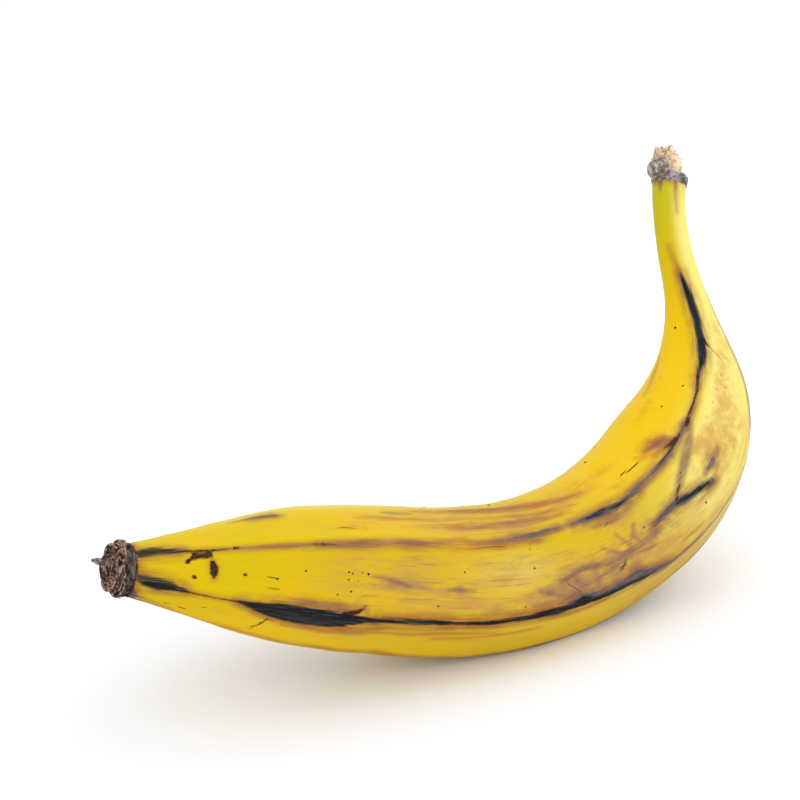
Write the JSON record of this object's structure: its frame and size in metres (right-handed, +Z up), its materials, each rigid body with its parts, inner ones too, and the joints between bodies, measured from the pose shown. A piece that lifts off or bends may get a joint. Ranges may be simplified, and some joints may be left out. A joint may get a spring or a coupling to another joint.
{
  "type": "plantain",
  "caption": "Ripe plantain with a bent five-sided body, a slim stem with a torn end and a blossom scar, standing on the outer side of its bend.",
  "frame": {"origin": "middle of the base of the bounding box, on the surface the fruit stands on", "axes": "+Z up, +X along the fruit from the blossom scar towards the stem, -Y towards the side the fruit leans away from"},
  "size_m": [0.2322, 0.0834, 0.1249],
  "materials": {
    "ripe_peel": null
  },
  "bodies": {
    "root": {"plantain": "ripe_peel"}
  },
  "joints": []
}
